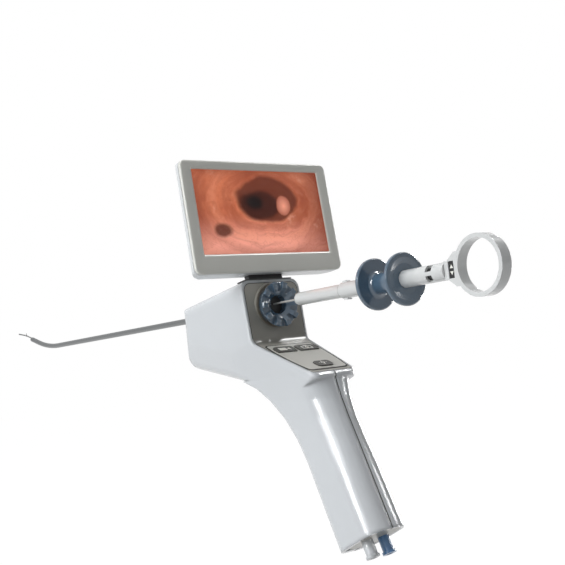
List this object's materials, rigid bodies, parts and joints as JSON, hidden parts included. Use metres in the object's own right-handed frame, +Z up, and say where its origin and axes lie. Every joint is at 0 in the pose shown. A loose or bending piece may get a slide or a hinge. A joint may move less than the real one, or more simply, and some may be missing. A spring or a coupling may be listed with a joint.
{
  "type": "hysteroscope",
  "caption": "Hand-held rigid scope with a pistol grip, tilting display, rotating bent-tip tube and a spool-handled grasping forceps through its channel.",
  "frame": {"origin": "front end of the nose collar's round wall, on the rigid tube's axis", "axes": "+Y along the rigid tube towards its tip, +X to the user's right seen from behind, +Z up"},
  "size_m": [0.1119, 0.6173, 0.241],
  "materials": {
    "shell": "smooth white moulded plastic with a soft sheen",
    "cover": "fine-grained warm grey moulded plastic",
    "label": "printed film, satin",
    "key": "dark grey soft-touch keys",
    "ring_plastic": "beige bearing plastic",
    "board": "green circuit board",
    "steel": "satin drawn stainless steel",
    "clear_plastic": "natural translucent polymer",
    "tubing": "soft clear tubing",
    "port_blue": "blue tinted luer fitting",
    "dark_plastic": "glossy black plastic",
    "display_silver": "silver grey satin display cover",
    "panel": "lit display panel",
    "front_glass": "polished cover glass",
    "battery": "wrapped cell",
    "blue_plastic": "slate blue glossy plastic",
    "seal_rubber": "black elastomer",
    "contact_brass": "plated contact rings",
    "lamp_lens": "clear lamp lens",
    "wire": "insulated wire",
    "tool_white": "off-white glossy plastic"
  },
  "bodies": {
    "handpiece": {"left_shell": "shell", "right_shell": "shell", "nose_collar": "shell", "bearing_ring": "ring_plastic", "rear_cover": "cover", "keypad_label": "label", "keypad_board": "board", "switch_domes": "steel", "shell_screws": "steel", "main_board": "board", "fluid_manifold": "clear_plastic", "inflow_tube": "tubing", "outflow_tube": "tubing", "base_plug": "cover", "inflow_port": "shell", "outflow_port": "port_blue", "dock_plate": "dark_plastic", "dock_connector": "dark_plastic", "hinge_block": "dark_plastic", "hinge_pin": "steel"},
    "monitor": {"display_bezel": "display_silver", "display_back": "display_silver", "display_panel": "panel", "cover_glass": "front_glass", "display_board": "board", "battery_pack": "battery", "hinge_knuckle": "dark_plastic", "display_screws": "steel"},
    "power_key": {"power_button": "key"},
    "left_key": {"video_button": "key"},
    "right_key": {"photo_button": "key"},
    "lower_key": {"light_button": "key"},
    "rotor": {"rotation_knob": "blue_plastic", "shaft_hub": "blue_plastic", "hub_orings": "seal_rubber", "channel_seal": "seal_rubber", "contact_rings": "contact_brass", "rigid_tube": "steel", "channel_liner": "clear_plastic", "tip_cap": "steel", "camera_module": "dark_plastic", "tip_lamps": "lamp_lens", "camera_wire": "wire", "drive_core": "steel"},
    "tool_body": {"tool_nose": "tool_white", "tool_barrel": "tool_white", "tool_anchor": "dark_plastic", "tool_shaft": "steel"},
    "spool": {"finger_spool": "blue_plastic", "cross_bar": "steel", "pull_rod": "steel"},
    "thumb_grip": {"thumb_ring": "tool_white", "neck_insert": "dark_plastic", "swivel_pin": "steel"},
    "tool_tip": {"tip_shaft": "steel", "jaw_clevis": "steel", "jaw_pin": "steel"},
    "left_grasper": {"left_jaw": "steel"},
    "right_grasper": {"right_jaw": "steel"}
  },
  "joints": [
    {"name": "display_tilt", "type": "hinge", "parent": "handpiece", "child": "monitor", "pos_m": [0, -0.0874, 0.0243], "axis": [1, 0, 0], "range_deg": [-60, 10]},
    {"name": "tube_turn", "type": "hinge", "parent": "handpiece", "child": "rotor", "pos_m": [0, -0.05, 0], "axis": [0, 1, 0], "range_deg": [-170, 170]},
    {"name": "tool_slide", "type": "slide", "parent": "rotor", "child": "tool_body", "axis": [0, 1, 0], "range_m": [-0.009, 0.004]},
    {"name": "spool_slide", "type": "slide", "parent": "tool_body", "child": "spool", "axis": [0, 1, 0], "range_m": [-0.008, 0.003]},
    {"name": "thumb_turn", "type": "hinge", "parent": "tool_body", "child": "thumb_grip", "pos_m": [0, -0.2575, 0.00085], "axis": [0, 1, 0], "continuous": true},
    {"name": "tip_slide", "type": "slide", "parent": "rotor", "child": "tool_tip", "axis": [0, 0.9659, 0.2588], "range_m": [-0.009, 0.004]},
    {"name": "left_jaw_hinge", "type": "hinge", "parent": "tool_tip", "child": "left_grasper", "pos_m": [0, 0.32076, 0.01527], "axis": [0, -0.2588, 0.9659], "range_deg": [-21.5, 8.5]},
    {"name": "right_jaw_hinge", "type": "hinge", "parent": "tool_tip", "child": "right_grasper", "pos_m": [0, 0.32076, 0.01527], "axis": [0, -0.2588, 0.9659], "range_deg": [-8.5, 21.5]},
    {"name": "left_key_press", "type": "slide", "parent": "handpiece", "child": "left_key", "axis": [0, 0.4142, -0.9102], "range_m": [0, 0.0008], "stiffness_N_per_m": 2000},
    {"name": "right_key_press", "type": "slide", "parent": "handpiece", "child": "right_key", "axis": [0, 0.4142, -0.9102], "range_m": [0, 0.0008], "stiffness_N_per_m": 2000},
    {"name": "lower_key_press", "type": "slide", "parent": "handpiece", "child": "lower_key", "axis": [0, 0.4142, -0.9102], "range_m": [0, 0.0008], "stiffness_N_per_m": 2000},
    {"name": "power_key_press", "type": "slide", "parent": "monitor", "child": "power_key", "axis": [-1, 0, 0], "range_m": [0, 0.0003], "stiffness_N_per_m": 3000}
  ],
  "couplings": [
    {"joint": "tip_slide", "follows": "tool_slide", "ratio": 1},
    {"joint": "left_jaw_hinge", "follows": "spool_slide", "rad_per_m": 45.8},
    {"joint": "right_jaw_hinge", "follows": "spool_slide", "rad_per_m": -45.8}
  ]
}
